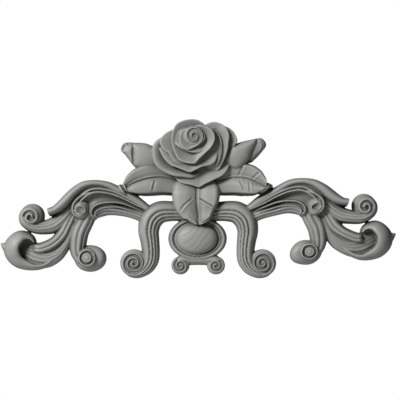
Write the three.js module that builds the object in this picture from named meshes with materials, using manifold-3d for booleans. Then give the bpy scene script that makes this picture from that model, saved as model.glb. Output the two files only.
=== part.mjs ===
// Decorative onlay: a rose with two buds and three leaves, a cartouche and two legs, between scrolled arms.
// One cast piece with a flat back. Millimetres, +Z up, back on the plane y = 0, front towards -Y.
// The origin is on the back, on the middle line, at the level where the legs' arches start.
import * as THREE from "three";
import { mergeVertices } from "three/addons/utils/BufferGeometryUtils.js";
import Module from "manifold-3d";

const wasm = await Module();
wasm.setup();

// Driving dimensions
const SPAN = 640; // from tip to tip of the arms
const DEPTH = 51; // from the back to the top of the rose
const ARM_LIFT = 16; // how much higher the right arm's end sits than the left's
const CURL_LIFT = 0.07; // how much more its lower curls rise, for each millimetre that they hang down
const BAND_STEP = 17; // spacing of the sections along a band
const PETAL_STEPS = 16; // sections round a petal
const INNER_STEPS = 12; // sections round each of the two innermost petals
const OUTER_FALL = 2.5; // how far a petal's rim drops at its outer edge

// The tables below are drawn at this size, and scale to SPAN and DEPTH
const DRAWN_SPAN = 640;
const DRAWN_DEPTH = 51;
const ACROSS = SPAN / DRAWN_SPAN;
const OUTWARD = DEPTH / DRAWN_DEPTH;
const SINK = 4; // how far each form runs past the back before the back is cut flat

// Where a point of the drawing goes: u from the middle line, z up, h off the wall
const { smoothstep } = THREE.MathUtils;
const lift = (u, z) =>
  ARM_LIFT * (0.2 * smoothstep(u, 110, 160) + 0.8 * smoothstep(u, 175, 255)) +
  CURL_LIFT * Math.max(0, -z) * smoothstep(u, 120, 170) * (1 - smoothstep(u, 215, 265));
const onRight = (u, z, h) => [u * ACROSS, -h * OUTWARD, (z + lift(u, z)) * ACROSS];
const onLeft = (u, z, h) => [-u * ACROSS, -h * OUTWARD, z * ACROSS];
const asDrawn = (x, z, h) => [x * ACROSS, -h * OUTWARD, z * ACROSS];
const mirrored = (x, z, h) => [-x * ACROSS, -h * OUTWARD, z * ACROSS];

// A closed geometry as a solid, with its faces pointing out
function solid(geometry) {
  geometry.deleteAttribute("normal");
  geometry.deleteAttribute("uv");
  const merged = mergeVertices(geometry, 1e-4);
  const points = merged.attributes.position.array;
  const faces = [];
  for (let i = 0; i < merged.index.count; i += 3) {
    const [a, b, c] = merged.index.array.slice(i, i + 3);
    if (a !== b && b !== c && c !== a) faces.push([a, b, c]);
  }
  const corner = (i) => new THREE.Vector3().fromArray(points, i * 3);
  const volume = faces.reduce((sum, [a, b, c]) => sum + corner(a).dot(corner(b).cross(corner(c))), 0);
  if (volume < 0) faces.forEach((face) => face.reverse());
  const triVerts = new Uint32Array(faces.flat());
  return new wasm.Manifold(new wasm.Mesh({ numProp: 3, vertProperties: points, triVerts }));
}

// A band in relief. Each station is [u, z, half width, height]; the section is [place across, share of height].
function band(stations, section, put, step = BAND_STEP) {
  const path = stations.map(([u, z]) => new THREE.Vector3(u, z, 0));
  const sizes = stations.map(([, , half, height]) => new THREE.Vector3(half, height, 0));
  const spine = new THREE.CatmullRomCurve3(path, false, "centripetal");
  const girth = new THREE.CatmullRomCurve3(sizes, false, "centripetal");
  const steps = Math.ceil(spine.getLength() / step);
  const lanes = section.length - 1;
  const box = new THREE.BoxGeometry(1, 1, 1, steps, 1, lanes);
  const places = box.attributes.position;
  for (let i = 0; i < places.count; i++) {
    const t = spine.getUtoTmapping(Math.round((places.getX(i) + 0.5) * steps) / steps);
    const [across, share] = section[Math.round((places.getZ(i) + 0.5) * lanes)];
    const at = spine.getPoint(t);
    const along = spine.getTangent(t);
    const size = girth.getPoint(t);
    const u = at.x - along.y * size.x * across;
    const z = at.y + along.x * size.x * across;
    places.setXYZ(i, ...put(u, z, places.getY(i) > 0 ? size.y * share : -SINK));
  }
  return solid(box);
}

// A raised form with an oval outline. Each ring is [share of the outline, height], from the outline inwards.
function oval({ at: [x, z], radii: [wide, tall], turn = 0, wave = 0, waves = 5, lean = [0, 0] }, rings, put, steps) {
  const shares = [[0, -SINK], [1, -SINK], ...rings];
  const profile = shares.map(([share, height]) => new THREE.Vector2(share, height));
  const lathe = new THREE.LatheGeometry(profile, steps);
  const places = lathe.attributes.position;
  for (let i = 0; i < places.count; i++) {
    const angle = (2 * Math.PI * (Math.floor(i / shares.length) % steps)) / steps;
    const [share, height] = shares[i % shares.length];
    const ripple = share * (1 + wave * Math.sin(waves * angle));
    const a = wide * ripple * Math.cos(angle);
    const b = tall * ripple * Math.sin(angle);
    const du = a * Math.cos(turn) - b * Math.sin(turn);
    const dz = a * Math.sin(turn) + b * Math.cos(turn);
    const h = height < 0 ? height : height + lean[0] * du + lean[1] * dz;
    places.setXYZ(i, ...put(x + du, z + dz, h));
  }
  return solid(lathe);
}

// Stations that wind in to a scroll's eye
function winding({ at: [u, z], from, turns, radii: [out, eye], half, height: [rim, core], count }) {
  return Array.from({ length: count + 1 }, (_, i) => {
    const share = i / count;
    const reach = out * (eye / out) ** share;
    const angle = ((from + 360 * turns * share) * Math.PI) / 180;
    return [u + reach * Math.cos(angle), z + reach * Math.sin(angle), half * reach, rim + (core - rim) * share];
  });
}

// Sections, as [place across from -1 to 1, share of the band's height]
const ROUNDED = [[-1, 0.35], [-0.86, 0.72], [-0.5, 0.94], [0, 1], [0.5, 0.94], [0.86, 0.72], [1, 0.35]];
const RIDGE = [[-1, 0.6], [-0.6, 0.92], [0, 1], [0.6, 0.92], [1, 0.6]];
const LEAF = [[-1, 0.72], [-0.85, 0.88], [-0.45, 0.97], [-0.08, 0.94], [0, 0.82], [0.14, 0.92], [0.5, 0.98],
  [1, 0.78]];
// A side leaf also has a slanting flank under its lower edge
const FLANKED_LEAF = [[-1.25, 0.15], ...LEAF];
// The leg: its outer edge is a plain round, then three ribs step down to the inner edge
const LEG = [[-1, 0.35], [-0.86, 0.62], [-0.66, 0.6], [-0.48, 0.8], [-0.34, 0.72], [-0.14, 0.95], [0, 0.84],
  [0.2, 1], [0.75, 0.95], [1, 0.4]];
// The arm's main band: ribs along its upper edge, then a hollow channel
const CHANNEL = [[-1, 0.78], [-0.5, 0.7], [0.05, 0.76], [0.3, 1], [0.46, 0.86], [0.62, 1], [0.76, 0.84],
  [1, 0.8]];

// Equal round ribs side by side over a crowned band
function fluted(ribs, depth, edge = 0.55) {
  const lanes = 2 * ribs;
  return Array.from({ length: lanes + 1 }, (_, i) => {
    const across = (2 * i) / lanes - 1;
    const crown = edge + (1 - edge) * Math.sqrt(1 - 0.96 * across ** 4);
    const groove = i % 2 === 0 && i > 0 && i < lanes ? depth : 0;
    return [across, crown - groove];
  });
}

// One arm, drawn outwards from the middle line
const TOP_STRAND = [[82, -13, 6, 18], [104, 2, 8, 20], [124, 13.5, 6.5, 22], [146, 24, 5.8, 25],
  [167, 27, 5.2, 28], [184, 23.5, 6.5, 30], [199, 13, 7.5, 31], [212, -1, 8.5, 32], [224, -11, 8, 32],
  [238, -18, 5.6, 31]];
const MAIN_BAND = [[76, -20, 8, 18], [104, -9, 10, 20], [126, 1, 13, 22], [147, 7, 15, 24], [167, 7, 17, 25],
  [181, -2, 18, 25], [189, -12, 15, 24]];
const LOWER_BAND = [[82, -30, 9, 16], [104, -21.5, 8.5, 18], [126, -16, 9.5, 20], [146, -13.5, 11.5, 21],
  [160, -18, 12.5, 20], [169, -30, 9, 18]];
const STEM = [[176, -20, 14, 20], [182, -34, 14.5, 22], [190, -52, 14.6, 24], [193, -68, 14.2, 24],
  [193, -84, 12, 24], [187, -98, 9, 23]];
const UPPER_STEM = [[196, -4, 9, 19], [206, -16, 11, 20], [218, -30, 12, 22], [231, -40, 13, 23],
  [246, -44, 11.5, 24], [261, -44, 10, 25], [274, -39, 8, 26], [280, -27, 6.5, 27]];
const MIDDLE_LOBE = [[202, -24, 9, 18], [209, -38, 9, 20], [218, -55, 10, 22], [230, -67.5, 9.5, 23],
  [243, -74.5, 9.5, 24], [254, -77.5, 9.2, 24], [264, -75, 7, 22]];
const END_STEM = [[200, -36, 5, 18], [206, -56, 7, 20], [214, -72, 9, 21], [227, -87, 11.5, 22],
  [242, -95.5, 14.5, 23], [258, -99, 13.5, 24], [272, -97, 13, 24], [284, -90, 10, 22]];

function arm(put) {
  const endLeaf = { at: [286, -80], radii: [31.5, 31], turn: 0.35 };
  const hollow = { at: [273, -79], radii: [13, 16], turn: -0.3 };
  const upperEye = { at: [266.5, -25.5], from: -50, turns: 1.45, radii: [14, 3], half: 0.42, height: [27, 31],
    count: 14 };
  const lowerEye = { at: [177, -93], from: 150, turns: -1.3, radii: [12.5, 3], half: 0.36, height: [27, 30],
    count: 11 };
  const eyeRim = { at: [189, -13], from: 80, turns: -0.7, radii: [17.5, 11], half: 0.2, height: [28, 31],
    count: 9 };
  const throughHollow = oval(hollow, [[1, DRAWN_DEPTH], [0, DRAWN_DEPTH]], put, 12);
  const hollowFloor = oval(hollow, [[1, 26], [0.7, 18], [0, 15]], put, 12);
  const cupped = oval(endLeaf, [[1, 9], [0.93, 19], [0.72, 28], [0.35, 31.5], [0, 32]], put, 18)
    .subtract(throughHollow.subtract(hollowFloor));
  return [
    band(TOP_STRAND, ROUNDED, put),
    band(MAIN_BAND, CHANNEL, put),
    band(LOWER_BAND, fluted(3, 0.14), put),
    band(STEM, fluted(3, 0.12), put),
    band(UPPER_STEM, fluted(2, 0.08), put),
    band(MIDDLE_LOBE, fluted(2, 0.12), put),
    band(END_STEM, fluted(2, 0.12), put),
    cupped,
    oval({ at: [266, -26], radii: [20, 20] }, [[1, 10], [0.94, 18], [0.75, 24], [0, 26]], put, 16),
    band(winding(upperEye), RIDGE, put, 7),
    oval({ at: [173, -94], radii: [26, 21.5] }, [[1, 8], [0.94, 16], [0.76, 23], [0, 25]], put, 20),
    band(winding(lowerEye), RIDGE, put, 7),
    oval({ at: [187, -17], radii: [15.5, 16.5] }, [[1, 14], [0.9, 22], [0.55, 28], [0, 29]], put, 14),
    band(winding(eyeRim), RIDGE, put, 8),
  ];
}

// One leg with its volute, which winds outwards
const LEG_TOP = [[14, -22, 13, 18], [30, -19, 15, 19], [47, -18, 16.5, 21], [63, -20.5, 18, 22], [75, -31, 18.5, 23],
  [79.5, -48, 17, 23], [77.5, -66, 15.3, 23], [76, -82, 14.5, 23], [77, -96, 14, 22], [82, -107, 12.5, 22],
  [92, -115, 9.5, 22], [101, -118, 7, 21]];

function leg(put) {
  const volute = { at: [104, -101], from: 240, turns: 1.45, radii: [19.5, 4], half: 0.42, height: [22, 23],
    count: 15 };
  return [
    band(LEG_TOP, LEG, put, 16),
    band(winding(volute), RIDGE, put, 8),
    oval({ at: [104, -101], radii: [19, 19] }, [[1, 12], [0.85, 16], [0, 16]], put, 14),
  ];
}

// The cartouche between the legs, and its foot with a small scroll at each end
const FOOT = [[0, -96, 8.5, 17], [14, -96, 8.5, 17], [27, -95, 8, 18], [37, -97, 7, 18]];

function footHalf(put) {
  const scroll = { at: [28.5, -106], from: 40, turns: -1.4, radii: [11.5, 2.6], half: 0.42, height: [18, 19],
    count: 13 };
  return [
    band([...FOOT, ...winding(scroll)], RIDGE, put, 8),
    oval({ at: [29, -106], radii: [13.5, 13.5] }, [[1, 11], [0.85, 14], [0, 14]], put, 12),
  ];
}

function cartouche() {
  const ring = { at: [-1, -62], radii: [47, 35] };
  const boss = { at: [-2.5, -62.5], radii: [33, 25] };
  return [
    oval(ring, [[1, 9], [0.95, 17], [0.86, 19], [0.77, 13], [0, 13]], asDrawn, 24),
    oval(boss, [[1, 13], [0.88, 20], [0.55, 25], [0, 27]], asDrawn, 20),
    ...footHalf(asDrawn),
    ...footHalf(mirrored),
  ];
}

// The leaves lie along their middle veins
const SIDE_LEAF = [[16, 30, 18, 16], [38, 33, 22, 18], [60, 35.5, 24, 22], [80, 34, 23.5, 25], [95, 29.5, 20.5, 25],
  [107, 24, 16, 24], [115, 20, 9.5, 24], [122, 20, 4.5, 25], [127, 21, 2, 24]];
const MIDDLE_LEAF = [[-3, 34, 22, 18], [-4, 14, 33.5, 24], [-4, 0, 36.5, 27], [-3, -12, 32.5, 28], [-1, -22, 26, 27],
  [0, -31, 19, 28], [0, -36.5, 11, 29], [0, -39, 4, 28]];

function leaves() {
  return [
    band(SIDE_LEAF, FLANKED_LEAF, asDrawn, 14),
    band(SIDE_LEAF, FLANKED_LEAF, mirrored, 14),
    band(MIDDLE_LEAF, LEAF, asDrawn, 9),
  ];
}

// Each bud stands out sideways from behind the rose: a ribbed cup, a collar and a closed tip
const LEFT_BUD = [[55, 70, 17, 24], [72, 71, 19.5, 28], [90, 72, 19.8, 29], [102, 72, 19.4, 28], [107, 73, 17.5, 26],
  [112, 77, 14.5, 24], [118, 81.5, 10.5, 21], [123, 84, 6.5, 17]];
const RIGHT_BUD = [[50, 68, 17, 24], [66, 71, 19.5, 28], [82, 76.5, 19, 29], [93, 82, 16, 28], [98, 85, 13.5, 25],
  [104, 89, 10.5, 22], [109, 91, 6, 17]];

function buds() {
  return [band(LEFT_BUD, fluted(3, 0.05), mirrored), band(RIGHT_BUD, fluted(3, 0.05), asDrawn)];
}

// The petals, from the outside in: middle, reach to the side and up, rim height, width of the rolled rim, hollow
const PETALS = [
  { at: [2, 56], radii: [49, 35.5], rim: 29, roll: 0.1, hollow: 2, lean: [0, 0.04] },
  { at: [31, 88], radii: [32, 33], rim: 29, roll: 0.1, hollow: 4, lean: [0, 0] },
  { at: [-22, 71], radii: [51, 39.5], rim: 33, roll: 0.14, hollow: 3, lean: [0, 0] },
  { at: [16, 86], radii: [33, 39], rim: 36, roll: 0.16, hollow: 4, lean: [0, 0] },
  { at: [-26, 88], radii: [35, 29], rim: 36, roll: 0.08, hollow: 5, lean: [0, 0] },
  { at: [-14, 78], radii: [45.5, 33], rim: 38, roll: 0.1, hollow: 4, lean: [0, 0.02] },
  { at: [-8, 94], radii: [36, 35], rim: 42, roll: 0.1, hollow: 7, lean: [0, 0] },
  { at: [-8, 100], radii: [34, 24.5], rim: 43, roll: 0.1, hollow: 5, lean: [0, -0.12] },
  { at: [0, 92], radii: [27.5, 28.5], rim: 45, roll: 0.24, hollow: 5, lean: [0.05, 0] },
  { at: [-9, 100], radii: [20, 17.5], rim: 47.5, roll: 0.16, hollow: 4, lean: [0, 0] },
  { at: [-8, 103.5], radii: [14.5, 12], rim: 49, roll: 0.2, hollow: 3, lean: [0, 0] },
];
const HEART = { at: [-8, 104], radii: [7.5, 7.5] };

function rose() {
  const petals = PETALS.map(({ at, radii, rim, roll, hollow, lean }, i) => {
    const floor = rim - hollow;
    const crest = 1 - 0.4 * roll;
    const inside = 1 - 1.6 * roll;
    const rings = [[1, rim - OUTER_FALL], [crest, rim], [inside, floor], [0, floor]];
    const steps = i < PETALS.length - 2 ? PETAL_STEPS : INNER_STEPS;
    return oval({ at, radii, lean, wave: 0.015, waves: 4 }, rings, asDrawn, steps);
  });
  return [...petals, oval(HEART, [[1, 48], [0.7, 51], [0.35, 50.5], [0, 48]], asDrawn, 10)];
}

// Everything joined, then cut flat along the back
function onlay() {
  const forms = [...arm(onLeft), ...arm(onRight), ...leg(mirrored), ...leg(asDrawn), ...cartouche(), ...leaves(),
    ...buds(), ...rose()];
  const behind = new THREE.BoxGeometry(2 * SPAN, DEPTH, 2 * SPAN).translate(0, DEPTH / 2, 0);
  const joined = forms.reduce((whole, form) => whole.add(form)).subtract(solid(behind));
  const { vertProperties, triVerts } = joined.getMesh();
  const geometry = new THREE.BufferGeometry();
  geometry.setAttribute("position", new THREE.BufferAttribute(vertProperties, 3));
  geometry.setIndex(new THREE.BufferAttribute(triVerts, 1));
  geometry.computeVertexNormals();
  const primer = new THREE.MeshStandardMaterial({ color: 0x9da19b, roughness: 0.62, metalness: 0 });
  const mesh = new THREE.Mesh(geometry, primer);
  mesh.name = "rose_onlay";
  return mesh;
}

const group = new THREE.Group();
group.add(onlay());

export default group;
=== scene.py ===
from math import atan2, ceil, cos, pi, sin, sqrt

import bmesh
import bpy
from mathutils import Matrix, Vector


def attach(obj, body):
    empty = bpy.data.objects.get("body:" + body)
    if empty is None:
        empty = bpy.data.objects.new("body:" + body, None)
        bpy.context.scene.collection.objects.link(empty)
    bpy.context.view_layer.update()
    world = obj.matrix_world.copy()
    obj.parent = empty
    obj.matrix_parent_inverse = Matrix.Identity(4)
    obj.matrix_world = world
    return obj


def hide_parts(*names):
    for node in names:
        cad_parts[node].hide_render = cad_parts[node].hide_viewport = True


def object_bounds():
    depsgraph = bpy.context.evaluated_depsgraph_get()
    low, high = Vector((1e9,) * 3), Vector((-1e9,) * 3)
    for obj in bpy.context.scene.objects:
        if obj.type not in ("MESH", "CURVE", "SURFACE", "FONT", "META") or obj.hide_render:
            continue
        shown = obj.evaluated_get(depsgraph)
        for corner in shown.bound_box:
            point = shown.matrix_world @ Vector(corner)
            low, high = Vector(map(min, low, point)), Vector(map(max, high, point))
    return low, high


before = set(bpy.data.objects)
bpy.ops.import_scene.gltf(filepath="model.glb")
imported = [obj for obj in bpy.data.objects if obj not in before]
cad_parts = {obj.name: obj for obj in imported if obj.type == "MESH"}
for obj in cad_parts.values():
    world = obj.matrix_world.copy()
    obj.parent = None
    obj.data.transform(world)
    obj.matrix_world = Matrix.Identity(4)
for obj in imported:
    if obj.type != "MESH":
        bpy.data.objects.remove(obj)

CAD_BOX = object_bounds()

# The drawing's sizes are in millimetres: x or u from the middle line, z up, heights off the wall
MM = 0.001
BACK = 0.4  # points this near to the wall's plane are set on it, so the back is flat
FINE = 1.0  # spacing of the points along and across a form
RIM_FINE = 1.2  # spacing of the points round an outline
KNOT_PARTS = 16  # straight parts between two given points of a smooth line
TURN_PARTS = 16  # given points in a full turn of an oval or a scroll
TOUCHING = 1e-6  # points are never taken as nearer than this, so nothing is divided by nought
VOXEL = 0.75  # cell in which the forms are cast into one
CAST_TRIANGLES = 196000
INSET = 0.15  # the casting stays this far inside the box of the solid
BACKWARD = 0.95  # a face that looks this squarely at the wall is shaded flat

ARM_LIFT = 16.0  # how much higher the right arm's end sits than the left's
CURL_LIFT = 0.07  # how much more its lower curls rise, for each millimetre that they hang down


# Where a point of the drawing goes
def smoothstep(value, low, high):
    share = min(max((value - low) / (high - low), 0.0), 1.0)
    return share * share * (3 - 2 * share)


def lift(u, z):
    arm = ARM_LIFT * (0.2 * smoothstep(u, 110, 160) + 0.8 * smoothstep(u, 175, 255))
    curls = CURL_LIFT * max(0.0, -z) * smoothstep(u, 120, 170) * (1 - smoothstep(u, 215, 265))
    return arm + curls


def on_right(u, z, h):
    return Vector((u, -h, z + lift(u, z))) * MM


def on_left(u, z, h):
    return Vector((-u, -h, z)) * MM


def as_drawn(x, z, h):
    return Vector((x, -h, z)) * MM


def mirrored(x, z, h):
    return Vector((-x, -h, z)) * MM


# Smooth lines through a few points
def gap(a, b):
    return max(sqrt((b[0] - a[0]) ** 2 + (b[1] - a[1]) ** 2), TOUCHING)


def smooth(knots):
    """Close points on the smooth line from the second knot to the last but one."""
    fine = []
    for a, b, c, d in zip(knots, knots[1:], knots[2:], knots[3:]):
        tb = sqrt(gap(a, b))
        tc = tb + sqrt(gap(b, c))
        td = tc + sqrt(gap(c, d))
        for step in range(KNOT_PARTS):
            t = tb + (tc - tb) * step / KNOT_PARTS
            ab = a.lerp(b, t / tb)
            bc = b.lerp(c, (t - tb) / (tc - tb))
            cd = c.lerp(d, (t - tc) / (td - tc))
            abc = ab.lerp(bc, t / tc)
            bcd = bc.lerp(cd, (t - tb) / (td - tb))
            fine.append(abc.lerp(bcd, (t - tb) / (tc - tb)))
    fine.append(knots[-2].copy())
    return fine


def through(points, spacing, closed=False):
    """Evenly spaced points on the smooth line through the given ones."""
    knots = [Vector(point) for point in points]
    if closed:
        knots = [knots[-1]] + knots + knots[:2]
    else:
        knots = [knots[0] * 2 - knots[1]] + knots + [knots[-1] * 2 - knots[-2]]
    fine = smooth(knots)
    lengths = [0.0]
    for a, b in zip(fine, fine[1:]):
        lengths.append(lengths[-1] + gap(a, b))
    count = max(2, ceil(lengths[-1] / spacing))
    even = []
    at = 0
    for i in range(count + 1):
        goal = lengths[-1] * i / count
        while at < len(fine) - 2 and lengths[at + 1] < goal:
            at += 1
        part = (goal - lengths[at]) / (lengths[at + 1] - lengths[at])
        even.append(fine[at].lerp(fine[at + 1], min(part, 1.0)))
    return even[:-1] if closed else even


# The two kinds of form that the onlay is made of
def band(stations, section, put, carve=None):
    """A band in relief, from stations of u, z, half width and height.

    The section's points are place across and share of the height.
    """
    line = through(stations, FINE)
    steps = len(line) - 1
    half = max(point[2] for point in line)
    high = max(point[3] for point in line)
    lanes = through([(across * half, share * high) for across, share in section], FINE)
    made = bmesh.new()
    bmesh.ops.create_grid(made, x_segments=len(lanes) - 1, y_segments=steps, size=0.5)
    grown = bmesh.ops.extrude_face_region(made, geom=made.faces[:])["geom"]
    front = {part for part in grown if isinstance(part, bmesh.types.BMVert)}
    for vert in made.verts:
        i = round((vert.co.y + 0.5) * steps)
        lane = lanes[round((vert.co.x + 0.5) * (len(lanes) - 1))]
        across, share = lane[0] / half, lane[1] / high
        at = line[i]
        before, after = line[max(i - 1, 0)], line[min(i + 1, steps)]
        along = Vector((after[0] - before[0], after[1] - before[1])).normalized()
        u = at[0] - along.y * at[2] * across
        z = at[1] + along.x * at[2] * across
        height = 0
        if vert in front:
            height = at[3] * share
            if carve:
                height += carve(across, i / steps)
        vert.co = put(u, z, height)
    return made


def dish(outline, middle, rings, put, carve=None):
    """A raised form on a closed outline. Each ring is its share of the way out to the rim, and its height."""
    rim = through(outline, RIM_FINE, closed=True)
    reach = max(gap(middle, point) for point in rim)
    profile = through([(share * reach, height) for share, height in rings], FINE)
    profile = [(reach * rings[0][0], 0)] + [(out, height) for out, height in profile]
    made = bmesh.new()
    bmesh.ops.create_circle(made, cap_ends=True, radius=1, segments=len(rim))
    edges = made.edges[:]
    for _ in profile[1:]:
        grown = bmesh.ops.extrude_edge_only(made, edges=edges)["geom"]
        verts = {part for part in grown if isinstance(part, bmesh.types.BMVert)}
        bmesh.ops.translate(made, vec=(0, 0, 1), verts=list(verts))
        edges = [part for part in grown if isinstance(part, bmesh.types.BMEdge) and set(part.verts) <= verts]
    bmesh.ops.edgeloop_fill(made, edges=edges)
    for vert in made.verts:
        turn = atan2(vert.co.y, vert.co.x) / (2 * pi)
        point = rim[round(turn * len(rim)) % len(rim)]
        out, height = profile[round(vert.co.z)]
        share = out / reach
        x = middle[0] + (point[0] - middle[0]) * share
        z = middle[1] + (point[1] - middle[1]) * share
        if vert.co.z > 0.5 and carve:
            height = carve(height, share, point)
        vert.co = put(x, z, height)
    return made


def oval(middle, radii):
    """The outline of an oval."""
    points = []
    for i in range(TURN_PARTS):
        angle = 2 * pi * i / TURN_PARTS
        points.append((middle[0] + radii[0] * cos(angle), middle[1] + radii[1] * sin(angle)))
    return points


def winding(middle, start, turns, reach, half, height):
    """Stations that wind in to a scroll's eye. Reach, half width and height are given outside and inside."""
    count = ceil(abs(turns) * TURN_PARTS)
    stations = []
    for i in range(count + 1):
        share = i / count
        out, wide, high = [a + (b - a) * share for a, b in (reach, half, height)]
        angle = (start + 360 * turns * share) * pi / 180
        stations.append((middle[0] + out * cos(angle), middle[1] + out * sin(angle), wide, high))
    return stations


# Sections across a band
RIB_EDGE = 0.2  # height of a ribbed band at its edges, as a share of its crown


def ribs(bounds, depth):
    """Round ribs side by side over a crowned band, with a narrow groove at each inner bound."""
    knots = []
    for left, right in zip(bounds, bounds[1:]):
        width = right - left
        for part, drop in ((0.0, 1.0), (0.14, 0.42), (0.5, 0.0), (0.86, 0.42)):
            knots.append((left + part * width, drop))
    knots.append((bounds[-1], 1.0))
    section = []
    for across, drop in knots:
        crown = RIB_EDGE + (1 - RIB_EDGE) * sqrt(max(0.0, 1 - 0.98 * abs(across) ** 2.6))
        outer = abs(across) > 0.999
        section.append((across, crown - (0 if outer else depth * drop)))
    return section


STRAND = [(-1.45, 0.08), (-1.35, 0.28), (-1.12, 0.46), (-1, 0.62), (-0.85, 0.8), (-0.5, 0.94), (0, 1),
          (0.4, 0.96), (0.75, 0.78), (0.94, 0.5), (1, 0.2)]
ROPE = [(-1, 0.3), (-0.93, 0.55), (-0.6, 0.85), (0, 1), (0.6, 0.85), (0.93, 0.55), (1, 0.3)]
CHANNEL = [(-1, 0.8), (-0.85, 0.72), (-0.6, 0.64), (-0.3, 0.6), (0, 0.68), (0.16, 0.86), (0.27, 1),
           (0.36, 0.95), (0.43, 0.82), (0.5, 0.88), (0.59, 1), (0.68, 0.95), (0.78, 0.8), (0.88, 0.84),
           (1, 0.74)]
LEG = [(-1, 0.12), (-0.97, 0.4), (-0.88, 0.62), (-0.74, 0.8), (-0.66, 0.82), (-0.6, 0.72), (-0.54, 0.85),
       (-0.44, 0.95), (-0.35, 0.93), (-0.28, 0.81), (-0.22, 0.92), (-0.1, 1), (0.02, 0.96), (0.09, 0.83),
       (0.16, 0.93), (0.3, 0.98), (0.5, 0.93), (0.7, 0.8), (0.86, 0.58), (0.96, 0.34), (1, 0.12)]
LEAF = [(-1, 0.6), (-0.96, 0.78), (-0.88, 0.9), (-0.75, 0.97), (-0.55, 1), (-0.35, 0.98), (-0.14, 0.89),
        (-0.03, 0.82), (0.02, 0.73), (0.06, 0.83), (0.11, 0.89), (0.18, 0.87), (0.4, 0.95), (0.65, 0.99),
        (0.84, 1), (0.95, 0.86), (1, 0.6)]
SIDE_LEAF = [(-1.2, 0.05), (-1.18, 0.22), (-1.05, 0.26), (-1.02, 0.5), (-1, 0.8), (-0.97, 0.92),
             (-0.86, 0.97)] + LEAF[4:]
CAP = [(-1, 0.3), (-0.98, 0.75), (-0.9, 0.95), (-0.6, 1), (-0.2, 0.97), (0.2, 0.88), (0.55, 0.74),
       (0.8, 0.56), (0.94, 0.38), (1, 0.26)]

# One arm, drawn outwards from the middle line
TOP_STRAND = [(82, -13, 6, 18), (104, 2, 8, 20), (124, 13.5, 6.5, 22), (146, 24, 5.8, 25),
              (167, 27, 5.2, 28), (184, 23.5, 6.5, 30), (199, 13, 7.5, 32), (211, 0.5, 8.3, 33),
              (221.5, -9.5, 7.6, 33), (231, -15.8, 6.3, 32.5), (240.5, -18.6, 5.6, 32)]
MAIN_BAND = [(76, -20, 8, 18), (104, -9, 10, 20), (126, 1, 13, 22), (147, 7, 15, 25), (167, 7, 17, 27),
             (181, -2, 18, 27), (190, -13, 15, 26)]
LOWER_BAND = [(82, -30, 9, 16), (104, -21.5, 8.5, 18), (126, -16, 9.5, 20), (146, -13.5, 11.5, 22),
              (159, -16.5, 12, 23), (167, -25, 8.5, 23), (168.5, -32, 4.5, 20)]
HOOKS = [[(84, -21, 0.8, 13), (104, -12, 1.8, 20), (126, -4.5, 2.4, 24), (148, -4, 2.8, 26.5),
          (162, -7.5, 3, 28), (169.5, -14, 3, 28), (171, -21, 2.8, 27), (167, -27.5, 2.2, 25)],
         [(84, -27, 0.8, 13), (104, -18.5, 1.8, 19.5), (128, -11.5, 2.3, 23), (148, -12, 2.6, 25),
          (160, -15.5, 2.6, 26), (165, -21.5, 2.4, 25.5), (162.5, -27.5, 2, 24)]]
STEM = [(172, -10, 14, 20), (181, -32, 14.5, 22), (190, -52, 14.6, 24), (193, -68, 14.2, 24),
        (193, -84, 12, 24), (187, -98, 9, 23)]
UPPER_STEM = [(196, -4, 9, 19), (206, -16, 11, 20), (218, -30, 12, 22), (231, -40, 13, 23),
              (246, -44, 11.5, 24), (261, -44, 10, 25), (274, -39, 8, 26), (281, -28, 6, 26)]
MIDDLE_LOBE = [(202, -24, 9, 19), (209, -38, 9, 21), (218, -55, 10, 24), (230, -67.5, 9.5, 26),
               (243, -74.5, 9.5, 27), (254, -77.5, 9.2, 27), (265, -76, 7.5, 26)]
END_STEM = [(200, -36, 5, 16), (206, -56, 7, 18), (214, -72, 9.5, 19), (227, -86, 13, 20),
            (243, -92, 17, 20.5), (259, -89.5, 19.5, 19), (272, -84, 18.5, 16), (283, -79, 16, 12)]
END_CAP = [(261.5, -67, 2.6, 21), (266.5, -60.5, 4.2, 23.5), (274.5, -57, 6.2, 26.5), (284, -58, 9.5, 31),
           (294, -65.5, 11.5, 34), (299, -76, 13, 34), (297, -87.5, 12.5, 32), (289, -98, 10.5, 28),
           (277, -104.5, 8, 25), (264, -108, 5.2, 23), (250, -106.8, 4, 21.5), (238, -101, 3.2, 20.5),
           (227, -91.5, 2.6, 19.5)]
END_BOWL = [(1, 13), (0.6, 11), (0.02, 10.5)]
END_TIP = [(295, -79, 13, 30), (304, -76, 9, 25), (311.5, -72.8, 4.6, 18), (317, -70, 0.8, 12)]
EYE_RIM = [(160, 11, 2.2, 23.5), (172, 11.5, 2.8, 26), (183, 8.5, 3.4, 28), (192, 2.5, 3.8, 29),
           (198.5, -5.5, 3.9, 30), (200.5, -14.5, 3.7, 30.5), (198, -22.5, 3.3, 30),
           (191.5, -26.5, 2.8, 28.5), (184, -27.5, 2.2, 25)]
EYE_BALL = [(1, 13), (0.98, 18), (0.88, 23.5), (0.68, 27.5), (0.5, 29.5), (0.36, 28.5), (0.02, 26)]
EYE_LID = [(197, -11.5, 2.2, 29.5), (190, -9.5, 2.5, 31), (182.5, -12, 2.5, 31), (180.5, -17, 2.5, 30.5),
           (185.5, -21.5, 2.5, 31), (193, -21, 2.4, 31), (198, -16.5, 2.2, 30)]
EYE_ROOT = [(1, 8), (0.9, 14), (0.02, 18)]
EYE_LINE = 188  # the eye's side falls away from here towards the middle line
EYE_FALL = 0.3  # by this much for each millimetre
UPPER_COIL = winding((268, -27), -70, 1.7, (15.4, 2.6), (6.2, 3.3), (24.5, 32))
LOWER_COIL = winding((177.5, -92.5), 150, -1.0, (12.8, 12.2), (3, 2.8), (29, 30.5))
LOWER_EYE = [(1, 18), (0.98, 23), (0.92, 25.5), (0.78, 25.5), (0.7, 28), (0.62, 29.5), (0.4, 29),
             (0.25, 29.8), (0.02, 30)]
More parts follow.
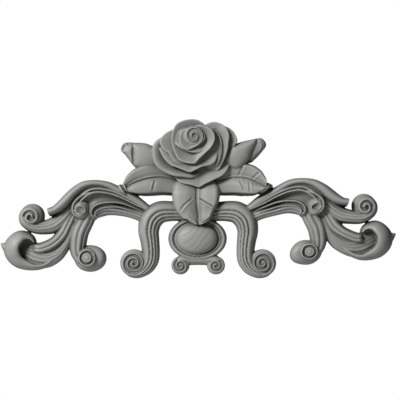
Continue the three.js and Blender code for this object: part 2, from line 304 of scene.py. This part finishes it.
DOME = [(1, 4), (0.985, 9), (0.93, 15), (0.8, 21), (0.6, 25.5), (0.35, 28), (0.02, 28.8)]


def eye_side(height, share, point):
    """The eye falls away towards the channel."""
    return height - EYE_FALL * max(0.0, (EYE_LINE - point[0]) * share)


def round_end(length, share_from):
    """Lets the height of a band fall off in a quarter round at its far end."""
    def fall(across, along):
        late = max(0.0, (along - share_from) / (1 - share_from))
        return -length * (1 - sqrt(max(0.0, 1 - late * late)))
    return fall


def scaled(rings, factor):
    """The same profile, taller or flatter."""
    return [(share, height * factor) for share, height in rings]


def arm(put):
    """One arm with its scrolls and its curled end leaf."""
    hooks = [band(hook, ROPE, put) for hook in HOOKS]
    return hooks + [
        band(TOP_STRAND, STRAND, put),
        band(MAIN_BAND, CHANNEL, put),
        band(LOWER_BAND, ribs((-1, -0.45, 0.2, 1), 0.16), put, round_end(12, 0.94)),
        band(STEM, ribs((-1, -0.55, 0.1, 1), 0.13), put),
        band(UPPER_STEM, ribs((-1, -0.4, 0.1, 0.5, 1), 0.07), put),
        band(MIDDLE_LOBE, ribs((-1, -0.1, 1), 0.13), put, round_end(14, 0.9)),
        band(END_STEM, ribs((-1, -0.5, -0.15, 0.15, 0.45, 1), 0.08), put),
        dish(oval((274, -81), (18, 23)), (276, -81), END_BOWL, put),
        band(END_CAP, CAP, put),
        band(END_TIP, STRAND, put),
        dish(oval((266, -26), (20, 20)), (266, -26), scaled(DOME, 0.85), put),
        band(UPPER_COIL, ROPE, put),
        dish(oval((173, -94), (26, 21.5)), (160, -92), scaled(DOME, 0.84), put),
        band(LOWER_COIL, ROPE, put),
        dish(oval((178, -92.5), (11, 11)), (178, -92.5), LOWER_EYE, put),
        dish(oval((189, -24), (18, 18)), (189, -24), EYE_ROOT, put),
        dish(oval((187, -15.5), (15, 16.5)), (189.5, -16.5), EYE_BALL, put, eye_side),
        band(EYE_LID, ROPE, put),
        band(EYE_RIM, ROPE, put),
    ]


# One leg with its volute, which winds outwards
LEG_TOP = [(14, -22, 13, 18), (30, -19, 15, 19), (47, -18, 16.5, 21), (63, -20.5, 18, 23),
           (75, -31, 18.5, 24), (79.5, -48, 17, 24), (77.5, -66, 15.3, 24), (76, -82, 14.5, 24),
           (77, -96, 14, 23), (82, -107, 12, 22), (90, -114.5, 9.5, 22), (99, -118.8, 7.2, 21.5),
           (109, -119, 4.5, 21), (117, -114, 2.6, 20.5)]
VOLUTE_COIL = winding((103, -101), 215, 2.6, (20.3, 1.8), (2.6, 2.6), (22.5, 25))
VOLUTE_BASE = [(1, 12), (0.97, 16), (0.9, 18.5), (0.5, 19.5), (0.02, 21)]


def leg(put):
    """One leg, from under the middle leaf down to its volute."""
    return [
        band(LEG_TOP, LEG, put),
        dish(oval((103, -101), (22, 22)), (103, -101), VOLUTE_BASE, put),
        band(VOLUTE_COIL, ROPE, put),
    ]


# The cartouche between the legs, and its foot with a small scroll at each end
FOOT = [(0, -96, 8.5, 17), (14, -96, 8.5, 17), (26, -95.5, 8, 18), (33, -97.5, 5.5, 18)]
FOOT_COIL = winding((28.5, -105), 60, -2, (12.6, 1.6), (2.3, 2.1), (19, 20.5))
FOOT_BASE = [(1, 9), (0.96, 13), (0.88, 15.5), (0.02, 17)]
RING = [(1, 6), (0.99, 11), (0.96, 15), (0.91, 18), (0.87, 18), (0.83, 16), (0.8, 13.5), (0.775, 16.5),
        (0.755, 16.5), (0.73, 13), (0.02, 13)]
BOSS = [(1, 11), (0.99, 14), (0.94, 18), (0.8, 22.5), (0.6, 25.5), (0.3, 27.5), (0.02, 28)]
BOSS_AT = (-2.5, -61.5)
SCRATCH_MIDDLE = (-62, -4)  # the lines cut in the boss curve round this point
SCRATCH_APART = 9.5
SCRATCH_DEPTH = 0.55


def scratched(height, share, point):
    """Faint curved lines cut in the boss."""
    x = BOSS_AT[0] + (point[0] - BOSS_AT[0]) * share
    z = BOSS_AT[1] + (point[1] - BOSS_AT[1]) * share
    ring = cos(2 * pi * gap((x, z), SCRATCH_MIDDLE) / SCRATCH_APART + 1.5 * sin(x / 7))
    return height - SCRATCH_DEPTH * max(0.0, ring) ** 8 * (1 - smoothstep(share, 0.6, 0.9))


def cartouche():
    """The ring, the boss and the foot."""
    forms = [
        dish(oval((-1, -62), (47, 35)), (-1, -62), RING, as_drawn),
        dish(oval(BOSS_AT, (34, 26)), BOSS_AT, BOSS, as_drawn, scratched),
    ]
    for put in (as_drawn, mirrored):
        forms.append(band(FOOT, ROPE, put))
        forms.append(dish(oval((28.5, -105), (14.5, 14.5)), (28.5, -105), FOOT_BASE, put))
        forms.append(band(FOOT_COIL, ROPE, put))
    return forms


# The leaves lie along their middle veins
LEFT_LEAF = [(16, 30, 18, 16), (38, 33, 22, 18), (60, 36, 24, 22), (80, 34, 23.5, 26), (95, 30, 21, 27),
             (106, 25.5, 16.5, 27.5), (112.5, 22, 11.5, 27), (117, 19.5, 7, 26), (119.5, 18, 2.5, 24)]
RIGHT_LEAF = [(16, 30, 18, 16), (38, 33, 22, 18), (60, 35.5, 24, 22), (78, 34, 24, 26), (88, 30.5, 22, 28),
              (96, 27, 18.5, 29.5), (102, 24.5, 13.5, 30.5), (106, 22.5, 8.5, 31), (108.5, 21.5, 3, 30)]
MIDDLE_LEAF = [(-3, 34, 30, 18), (-3.5, 23, 36.5, 23), (-3.5, 13, 38, 27), (-3.5, 3, 38, 28.5),
               (-3, -9, 35, 29.5), (-1.5, -20, 29, 29), (0, -29, 21.5, 30), (0, -35.5, 13, 32),
               (0, -39, 5, 32)]
TIP_LOBE = [(2, -37, 2.4, 31), (6, -34, 3.2, 33.5), (12, -31, 3.2, 33.5), (18, -25.5, 2.4, 31)]
LEFT_CURLS = [[(126.5, 24.5, 2.6, 23), (124, 19, 4, 28), (120, 13, 4, 28.5), (116, 9.5, 2.6, 25)],
              [(120.5, 25.5, 2.4, 26), (117.5, 21, 3.2, 29.5), (114, 14.5, 2.6, 29)]]
RIGHT_CURLS = [[(92, 19, 10, 17), (103, 19.5, 9.5, 20), (112, 21.5, 6.5, 21), (119.5, 22, 2, 19)],
               [(99, 12.5, 2.2, 26), (105.5, 15.5, 3.2, 28.5), (111, 21, 3.4, 29), (113.5, 26, 2.4, 26)],
               [(103, 30, 2, 27), (107.5, 27.5, 2.6, 30.5), (108, 22.5, 2.4, 31)]]


def veins(places, depth, thick=0.02):
    """Side veins, each a groove with a low ridge behind it. A place is side, start along the leaf, slant."""
    def carve(across, along):
        total = 0.0
        for side, start, slant in places:
            if side * across < 0:
                continue
            off = (along - start - slant * abs(across)) / thick
            reach = smoothstep(abs(across), 0.1, 0.25) * (1 - smoothstep(abs(across), 0.7, 0.9))
            total -= depth * reach * max(0.0, 1 - off * off)
            total += 0.6 * depth * reach * max(0.0, 1 - (off - 1.8) ** 2)
        return total
    return carve


def leaves():
    """The two side leaves and the middle one."""
    forms = []
    right = veins([(1, 0.5, 0.08), (1, 0.72, 0.1), (-1, 0.5, 0.16), (-1, 0.68, 0.12)], 1.5)
    left = veins([(-1, 0.48, 0.1)], 1.3)
    sides = ((as_drawn, RIGHT_LEAF, RIGHT_CURLS, right), (mirrored, LEFT_LEAF, LEFT_CURLS, left))
    for put, leaf, curls, pattern in sides:
        forms.append(band(leaf, SIDE_LEAF, put, pattern))
        forms += [band(curl, ROPE, put) for curl in curls]
    for put in (as_drawn, mirrored):
        forms.append(band(TIP_LOBE, ROPE, put))
    forms.append(band(MIDDLE_LEAF, LEAF, as_drawn, veins([(-1, 0.38, 0.33), (1, 0.38, 0.33)], 2.0, 0.025)))
    return forms


# Each bud stands out sideways from behind the rose: a round body, a collar or an edge, and a closed tip
LEFT_BODY = [(45, 60), (52, 84), (72, 86.5), (83, 90.5), (93, 91.8), (101, 92), (106.5, 91.3), (108, 84),
             (108, 72), (107, 60.5), (101.5, 52.5), (92, 49), (70, 51)]
LEFT_CALYX = [(103.8, 91.5), (111, 92.3), (117, 91.3), (121.5, 86), (123.4, 79), (118.5, 73.8),
              (110.5, 63.5), (104.6, 56.5), (102.8, 62), (103, 76)]
LEFT_TIP = [(112.5, 86), (115, 91.6), (119, 91), (122.6, 86), (124, 80), (122, 76.5), (118, 75.5),
            (114, 79.5)]
RIGHT_BODY = [(40, 62), (46, 84), (60, 90), (74, 94.5), (86, 97), (94, 98.3), (95.5, 94), (93, 87),
              (88.5, 77), (84, 66), (76, 56), (60, 48)]
RIGHT_TIP = [(84, 96), (93, 98.5), (99.5, 99.6), (105, 96.5), (108.8, 91), (108.8, 86), (104.5, 80),
             (98, 72), (91, 65), (84, 59.5), (74, 62), (76, 80)]
LEFT_COLLAR = [(107.6, 90.5, 1.6, 26), (108.6, 83, 2.4, 29.5), (108.6, 73, 2.4, 29.5), (107.2, 62, 1.8, 27)]
RIGHT_EDGE = [(98, 95, 1.6, 22), (101, 90, 1.8, 24), (100, 83, 1.8, 24), (95, 75, 1.6, 22)]
BUD_TIP = [(1, 18), (0.95, 24), (0.82, 27), (0.6, 26), (0.02, 24.5)]
BUD_BODY = [(1, 11), (0.99, 15.5), (0.95, 20.5), (0.85, 25.5), (0.67, 28.9), (0.45, 31), (0.22, 32),
            (0.02, 32.2)]


def folded(height, share, rim):
    """Faint pleats on the side of the bud next to its collar."""
    return height + 0.2 * share * sin(0.5 * rim[1]) * smoothstep(rim[0], 90, 100)


def buds():
    """The two closed buds."""
    return [
        dish(LEFT_BODY, (88, 74), scaled(BUD_BODY, 0.94), mirrored, folded),
        band(LEFT_COLLAR, ROPE, mirrored),
        dish(LEFT_CALYX, (109, 76), scaled(BUD_BODY, 0.92), mirrored),
        dish(LEFT_TIP, (118, 83.5), BUD_TIP, mirrored),
        dish(RIGHT_BODY, (66, 78), BUD_BODY, as_drawn),
        dish(RIGHT_TIP, (94, 84), scaled(BUD_BODY, 0.72), as_drawn),
        band(RIGHT_EDGE, ROPE, as_drawn),
    ]


# The petals, from the outside in. Each point of an outline is x, z and the rim's height there
PETALS = {
    "bottom": dict(
        middle=(5, 62), core=22, bowl=2, lip=(2, 0.07),
        outline=[(49, 52, 27), (51, 62, 25), (46, 76, 18), (20, 88, 16), (-20, 80, 16), (-40, 55, 16),
                 (-38, 36, 23), (-30, 28.5, 27), (-23, 26, 28), (-9, 23, 28.5), (1, 20, 28.5),
                 (11, 25, 28.5), (25, 32, 29), (40, 40, 29)]),
    "far right": dict(
        middle=(34, 94), core=27, bowl=2, lip=(2, 0.07),
        outline=[(53, 76, 27), (58, 86, 30), (63, 93, 31), (60, 104, 31), (54, 112, 31), (42, 118, 29),
                 (30, 112, 22), (25, 92, 16), (38, 74, 18)]),
    "left roll": dict(
        middle=(-20, 72), core=14, bowl=1.6, lip=(11, 0.21),
        outline=[(-62, 99, 38), (-70, 93, 39), (-74, 84, 39), (-74, 72, 39), (-71.5, 60, 39), (-64, 50, 39),
                 (-53, 43, 39), (-40, 38, 39), (-25, 36, 38), (-10, 34.5, 36), (0, 37, 31), (12, 48, 22),
                 (20, 70, 20), (0, 95, 20), (-40, 106, 30)]),
    "right": dict(
        middle=(14, 88), core=33, bowl=2, lip=(2.2, 0.08),
        outline=[(31, 46, 27), (37.5, 55, 32), (43, 66, 36), (47, 78, 37.5), (49, 92, 38), (50, 104, 37.5),
                 (45, 116, 36), (36, 122.5, 33), (25, 125, 32), (14, 122, 31), (5, 112, 26), (0, 80, 22),
                 (15, 50, 22)]),
    "lower": dict(
        middle=(-12, 80), core=31, bowl=2.5, lip=(2, 0.07),
        outline=[(-64, 88, 29), (-61, 78, 34), (-55, 66, 35.5), (-43.5, 55, 36.5), (-35.5, 52, 37),
                 (-22.7, 47, 38), (-13, 44, 38.5), (-3.5, 48, 38.5), (6, 52.8, 38), (20.5, 56, 37.5),
                 (28, 62.5, 37), (31, 76, 35), (24, 92, 28), (0, 104, 26), (-35, 104, 24), (-56, 98, 24)]),
    "left": dict(
        middle=(-28, 90), core=32, bowl=2, lip=(2, 0.07),
        outline=[(-60, 98, 34.5), (-60.5, 88, 36), (-53, 78.4, 37), (-47.7, 75, 37.5), (-42, 66, 38),
                 (-35.5, 59, 38), (-27, 57, 36), (-10, 64, 30), (0, 90, 28), (-10, 108, 28),
                 (-36, 113.5, 31), (-42, 112, 32), (-52, 107, 33)]),
    "cup": dict(
        middle=(-10, 96), core=34, bowl=2.4, lip=(2, 0.07),
        outline=[(-42.5, 104, 41), (-42, 88, 41), (-37, 73.6, 42), (-30.7, 63.5, 42.5), (-21, 59, 42.5),
                 (-4.5, 58, 43), (5, 66, 40), (15, 80, 36), (18, 100, 36), (14, 116, 38), (9, 122, 39),
                 (-1, 128, 40), (-13, 129, 40), (-27, 126, 40), (-36, 120, 40)]),
    "spiral": dict(
        middle=(-3, 92), core=37, bowl=1.7, lip=(2.2, 0.08),
        outline=[(-6.7, 117, 42), (3, 119.5, 44), (14.7, 117, 45), (24.3, 108.5, 46), (27, 98, 46.5),
                 (22, 85.4, 46.5), (11, 74, 46), (2.2, 66, 45.5), (-4.5, 60, 44), (-8, 64, 38),
                 (-10, 80, 35), (-9, 100, 35)]),
    "inner left": dict(
        middle=(-9, 98), core=39, bowl=2, lip=(2, 0.07),
        outline=[(-38, 92, 39), (-33, 86, 42), (-26.6, 81.6, 43.5), (-13, 76, 44.5), (2.9, 76, 43.5),
                 (13, 84, 40), (17, 98, 38), (8, 112, 38), (-10, 116, 39), (-28, 112, 38), (-37, 102, 38)]),
    "inner": dict(
        middle=(-9, 99), core=41.5, bowl=2, lip=(1.6, 0.09),
        outline=[(-30.5, 99, 45), (-28, 86.5, 46.5), (-18, 79.8, 47.5), (-3.5, 85, 47.5), (6.5, 91, 47.5),
                 (11, 97.5, 47), (9.5, 107, 45), (0, 114, 44), (-16, 115.5, 44), (-27, 109, 44.5)]),
}
HEART_BASE = [(1, 36), (0.97, 42), (0.85, 45.5), (0.02, 47)]
HEART_COIL = winding((-7.5, 102.5), -70, 1.8, (16, 2), (3.2, 2.5), (48.8, 50.8))
FOLD = [(24, 115, 1.6, 36), (32, 105, 2.8, 39), (36.5, 92, 3.4, 40), (36.5, 77, 3.4, 40),
        (33.5, 64, 2.8, 38), (28, 54, 1.6, 33)]


# A petal's levels run from 0 at the foot of its outer face to 3 on its inner face
FACE = 2.5  # above this level a point is on the inner face
LIP_UNDER = 1.5  # how far below the lip the outer face starts
OUTER_FALL = 4  # how far it falls from one level to the next


def petal(middle, core, bowl, lip, outline):
    """One petal: a rounded lip, a hollow inner face, and an outer face that falls away under the lip."""
    drop, width = lip
    under = [(0.95, 0), (0.96, 1), (0.985, 2)]
    shares = (1 - 0.1 * width, 1 - 0.4 * width, 1 - width, 1 - 2 * width, 0.6, 0.4, 0.2, 0.02)
    inner = [(share, 3) for share in shares]

    def shape(level, share, rim):
        height = core + (rim[2] - core) * share ** bowl
        if level > FACE:
            rolled = max(0.0, (share - 1 + width) / width)
            return height - drop * (1 - sqrt(max(0.0, 1 - rolled * rolled)))
        return rim[2] - drop - LIP_UNDER - (FACE - level) * OUTER_FALL

    return dish(outline, middle, under + inner, as_drawn, shape)


def rose():
    """The open rose."""
    forms = [petal(**shape) for shape in PETALS.values()]
    forms.append(dish(oval((-7, 102), (17, 16)), (-7, 102), HEART_BASE, as_drawn))
    forms.append(band(HEART_COIL, ROPE, as_drawn))
    forms.append(band(FOLD, ROPE, as_drawn))
    return forms


# Casting the forms into one piece
def object_from(made, name):
    """A new object with the mesh that was made."""
    mesh = bpy.data.meshes.new(name)
    made.to_mesh(mesh)
    made.free()
    piece = bpy.data.objects.new(name, mesh)
    bpy.context.scene.collection.objects.link(piece)
    return piece


def bake_modifiers(piece):
    """Keeps what the modifiers make, and removes them."""
    seen = piece.evaluated_get(bpy.context.evaluated_depsgraph_get())
    mesh = bpy.data.meshes.new_from_object(seen)
    piece.modifiers.clear()
    old = piece.data
    piece.data = mesh
    bpy.data.meshes.remove(old)


def joined(forms):
    """All the forms in one mesh."""
    whole = bmesh.new()
    for form in forms:
        part = bpy.data.meshes.new("form")
        form.to_mesh(part)
        form.free()
        whole.from_mesh(part)
        bpy.data.meshes.remove(part)
    return whole


def true_up(piece, low, high):
    """Sets the back flat on the wall's plane, and holds every point inside the solid's box."""
    for vert in piece.data.vertices:
        if vert.co.y > -BACK * MM:
            vert.co.y = 0
        for axis in range(3):
            least = low[axis] + INSET * MM
            most = high[axis] - (0 if axis == 1 else INSET * MM)
            vert.co[axis] = min(max(vert.co[axis], least), most)


def cast_onlay():
    """The whole onlay as one casting."""
    forms = arm(on_left) + arm(on_right) + leg(mirrored) + leg(as_drawn)
    forms += cartouche() + leaves() + buds() + rose()
    piece = object_from(joined(forms), "onlay_casting")
    remesh = piece.modifiers.new("cast", "REMESH")
    remesh.mode = "VOXEL"
    remesh.voxel_size = VOXEL * MM
    soften = piece.modifiers.new("soften", "SMOOTH")
    soften.factor = 0.5
    soften.iterations = 2
    bake_modifiers(piece)
    true_up(piece, *CAD_BOX)
    thin = piece.modifiers.new("thin", "DECIMATE")
    triangles = sum(len(face.vertices) - 2 for face in piece.data.polygons)
    thin.ratio = min(1.0, CAST_TRIANGLES / triangles)
    bake_modifiers(piece)
    true_up(piece, *CAD_BOX)
    for face in piece.data.polygons:
        face.use_smooth = face.normal.y < BACKWARD
    return piece


# Materials
def new_material(name):
    """An empty node material with its shader."""
    material = bpy.data.materials.new(name)
    material.use_nodes = True
    return material, material.node_tree, material.node_tree.nodes["Principled BSDF"]


def noise(tree, scale, detail):
    """Even noise that is fixed to the piece."""
    place = tree.nodes.new("ShaderNodeTexCoord")
    node = tree.nodes.new("ShaderNodeTexNoise")
    node.inputs["Scale"].default_value = scale
    node.inputs["Detail"].default_value = detail
    tree.links.new(place.outputs["Object"], node.inputs["Vector"])
    return node.outputs["Fac"]


def shades(tree, value, dark, light):
    """Colours between two shades. Each is given as the value it stands for and its red, green and blue."""
    ramp = tree.nodes.new("ShaderNodeValToRGB")
    for element, (at, colour) in zip(ramp.color_ramp.elements, (dark, light)):
        element.position = at
        element.color = (*colour, 1)
    tree.links.new(value, ramp.inputs["Fac"])
    return ramp.outputs["Color"]


def stretched(tree, value, old, new):
    """A value moved from its old range to a new one."""
    node = tree.nodes.new("ShaderNodeMapRange")
    for name, limit in zip(("From Min", "From Max", "To Min", "To Max"), old + new):
        node.inputs[name].default_value = limit
    tree.links.new(value, node.inputs["Value"])
    return node.outputs["Result"]


def painted_light_and_shade(tree):
    """Painted light in the paint's colour: a painted highlight that lightens the ridges, and painted shade
    that darkens the hollows.
    """
    ridges = tree.nodes.new("ShaderNodeNewGeometry")
    hollows = tree.nodes.new("ShaderNodeAmbientOcclusion")
    hollows.samples = 16
    hollows.inputs["Distance"].default_value = 0.028
    light_and_shade = tree.nodes.new("ShaderNodeMath")
    light_and_shade.operation = "MULTIPLY"
    # Painted highlight: the colour is made lighter on pointed ridges.
    ridge_highlight = stretched(tree, ridges.outputs["Pointiness"], (0.44, 0.58), (0.52, 1.75))
    # Painted shade: the colour is made darker where ambient occlusion finds hollows.
    hollow_shade = stretched(tree, hollows.outputs["AO"], (0.25, 1), (0.28, 1))
    tree.links.new(ridge_highlight, light_and_shade.inputs[0])
    tree.links.new(hollow_shade, light_and_shade.inputs[1])
    return light_and_shade.outputs["Value"]


def tooth(tree):
    """The fine grain of sprayed paint."""
    bump = tree.nodes.new("ShaderNodeBump")
    bump.inputs["Strength"].default_value = 0.25
    bump.inputs["Distance"].default_value = 0.0003
    tree.links.new(noise(tree, 900, 3), bump.inputs["Height"])
    return bump.outputs["Normal"]


def primer():
    """Sprayed factory primer: an uneven matt grey with a fine tooth, with painted highlights on the ridges
    and painted shade in the hollows.
    """
    material, tree, shader = new_material("factory primer")
    mottle = noise(tree, 38, 5)
    grey = shades(tree, mottle, (0.3, (0.352, 0.358, 0.338)), (0.72, (0.398, 0.404, 0.383)))
    paint = tree.nodes.new("ShaderNodeVectorMath")
    paint.operation = "SCALE"
    tree.links.new(grey, paint.inputs[0])
    # The grey is multiplied by painted light: a painted highlight on the ridges and painted shade in the
    # hollows.
    tree.links.new(painted_light_and_shade(tree), paint.inputs["Scale"])
    tree.links.new(paint.outputs["Vector"], shader.inputs["Base Color"])
    tree.links.new(stretched(tree, mottle, (0, 1), (0.44, 0.58)), shader.inputs["Roughness"])
    tree.links.new(tooth(tree), shader.inputs["Normal"])
    return material


def floor_paint():
    """Pale matt studio floor."""
    material, tree, shader = new_material("studio floor")
    pale = shades(tree, noise(tree, 6, 2), (0, (0.76, 0.76, 0.75)), (1, (0.8, 0.8, 0.79)))
    tree.links.new(pale, shader.inputs["Base Color"])
    shader.inputs["Roughness"].default_value = 0.9
    return material


# The studio
FLOOR_AT = -1.1  # the floor lies this far below the onlay's origin, in metres
FLOOR_HALF = 3  # and reaches this far each way
CAMERA_AT = (0.0029, -4.018, 0)
CAMERA_LENS = 225


def aim(item, target):
    """Turns a lamp towards a point."""
    item.rotation_euler = (Vector(target) - item.location).to_track_quat("-Z", "Y").to_euler()


def lamp(name, place, size, power):
    """A square soft light aimed at the onlay."""
    light = bpy.data.lights.new(name, "AREA")
    light.size = size
    light.energy = power
    item = bpy.data.objects.new(name, light)
    item.location = place
    aim(item, (0, 0, 0))
    bpy.context.scene.collection.objects.link(item)


def surround():
    """White behind the onlay, and a faint even light on it."""
    world = bpy.data.worlds.new("studio")
    bpy.context.scene.world = world
    world.use_nodes = True
    nodes, links = world.node_tree.nodes, world.node_tree.links
    around = nodes["Background"]
    around.inputs["Color"].default_value = (1, 1, 1, 1)
    around.inputs["Strength"].default_value = 0.035
    seen = nodes.new("ShaderNodeBackground")
    seen.inputs["Color"].default_value = (1, 1, 1, 1)
    seen.inputs["Strength"].default_value = 1.0
    path = nodes.new("ShaderNodeLightPath")
    mix = nodes.new("ShaderNodeMixShader")
    links.new(path.outputs["Is Camera Ray"], mix.inputs["Fac"])
    links.new(around.outputs["Background"], mix.inputs[1])
    links.new(seen.outputs["Background"], mix.inputs[2])
    links.new(mix.outputs["Shader"], nodes["World Output"].inputs["Surface"])


def studio():
    """A pale floor well below, a soft key from the upper left, a weak fill, and a white surround."""
    made = bmesh.new()
    bmesh.ops.create_grid(made, x_segments=2, y_segments=2, size=FLOOR_HALF)
    bmesh.ops.translate(made, vec=(0, 0, FLOOR_AT), verts=made.verts[:])
    floor = object_from(made, "studio_floor")
    floor.data.materials.append(floor_paint())
    lamp("key", place=(-2.1, -2.3, 1.75), size=1.0, power=110)
    lamp("fill", place=(1.2, -3.4, 0.6), size=2.0, power=2.5)
    bpy.context.scene.view_settings.view_transform = "Standard"
    surround()


def photograph():
    """The camera stands square in front, far enough off for the arms to look as flat as they do."""
    camera = bpy.data.cameras.new("camera")
    camera.lens = CAMERA_LENS
    camera.sensor_width = 36
    item = bpy.data.objects.new("camera", camera)
    item.location = CAMERA_AT
    item.rotation_euler = (pi / 2, 0, 0)
    bpy.context.scene.collection.objects.link(item)
    bpy.context.scene.camera = item


onlay = cast_onlay()
onlay.data.materials.clear()
onlay.data.materials.append(primer())
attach(onlay, "root")
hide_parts("rose_onlay")
studio()
photograph()
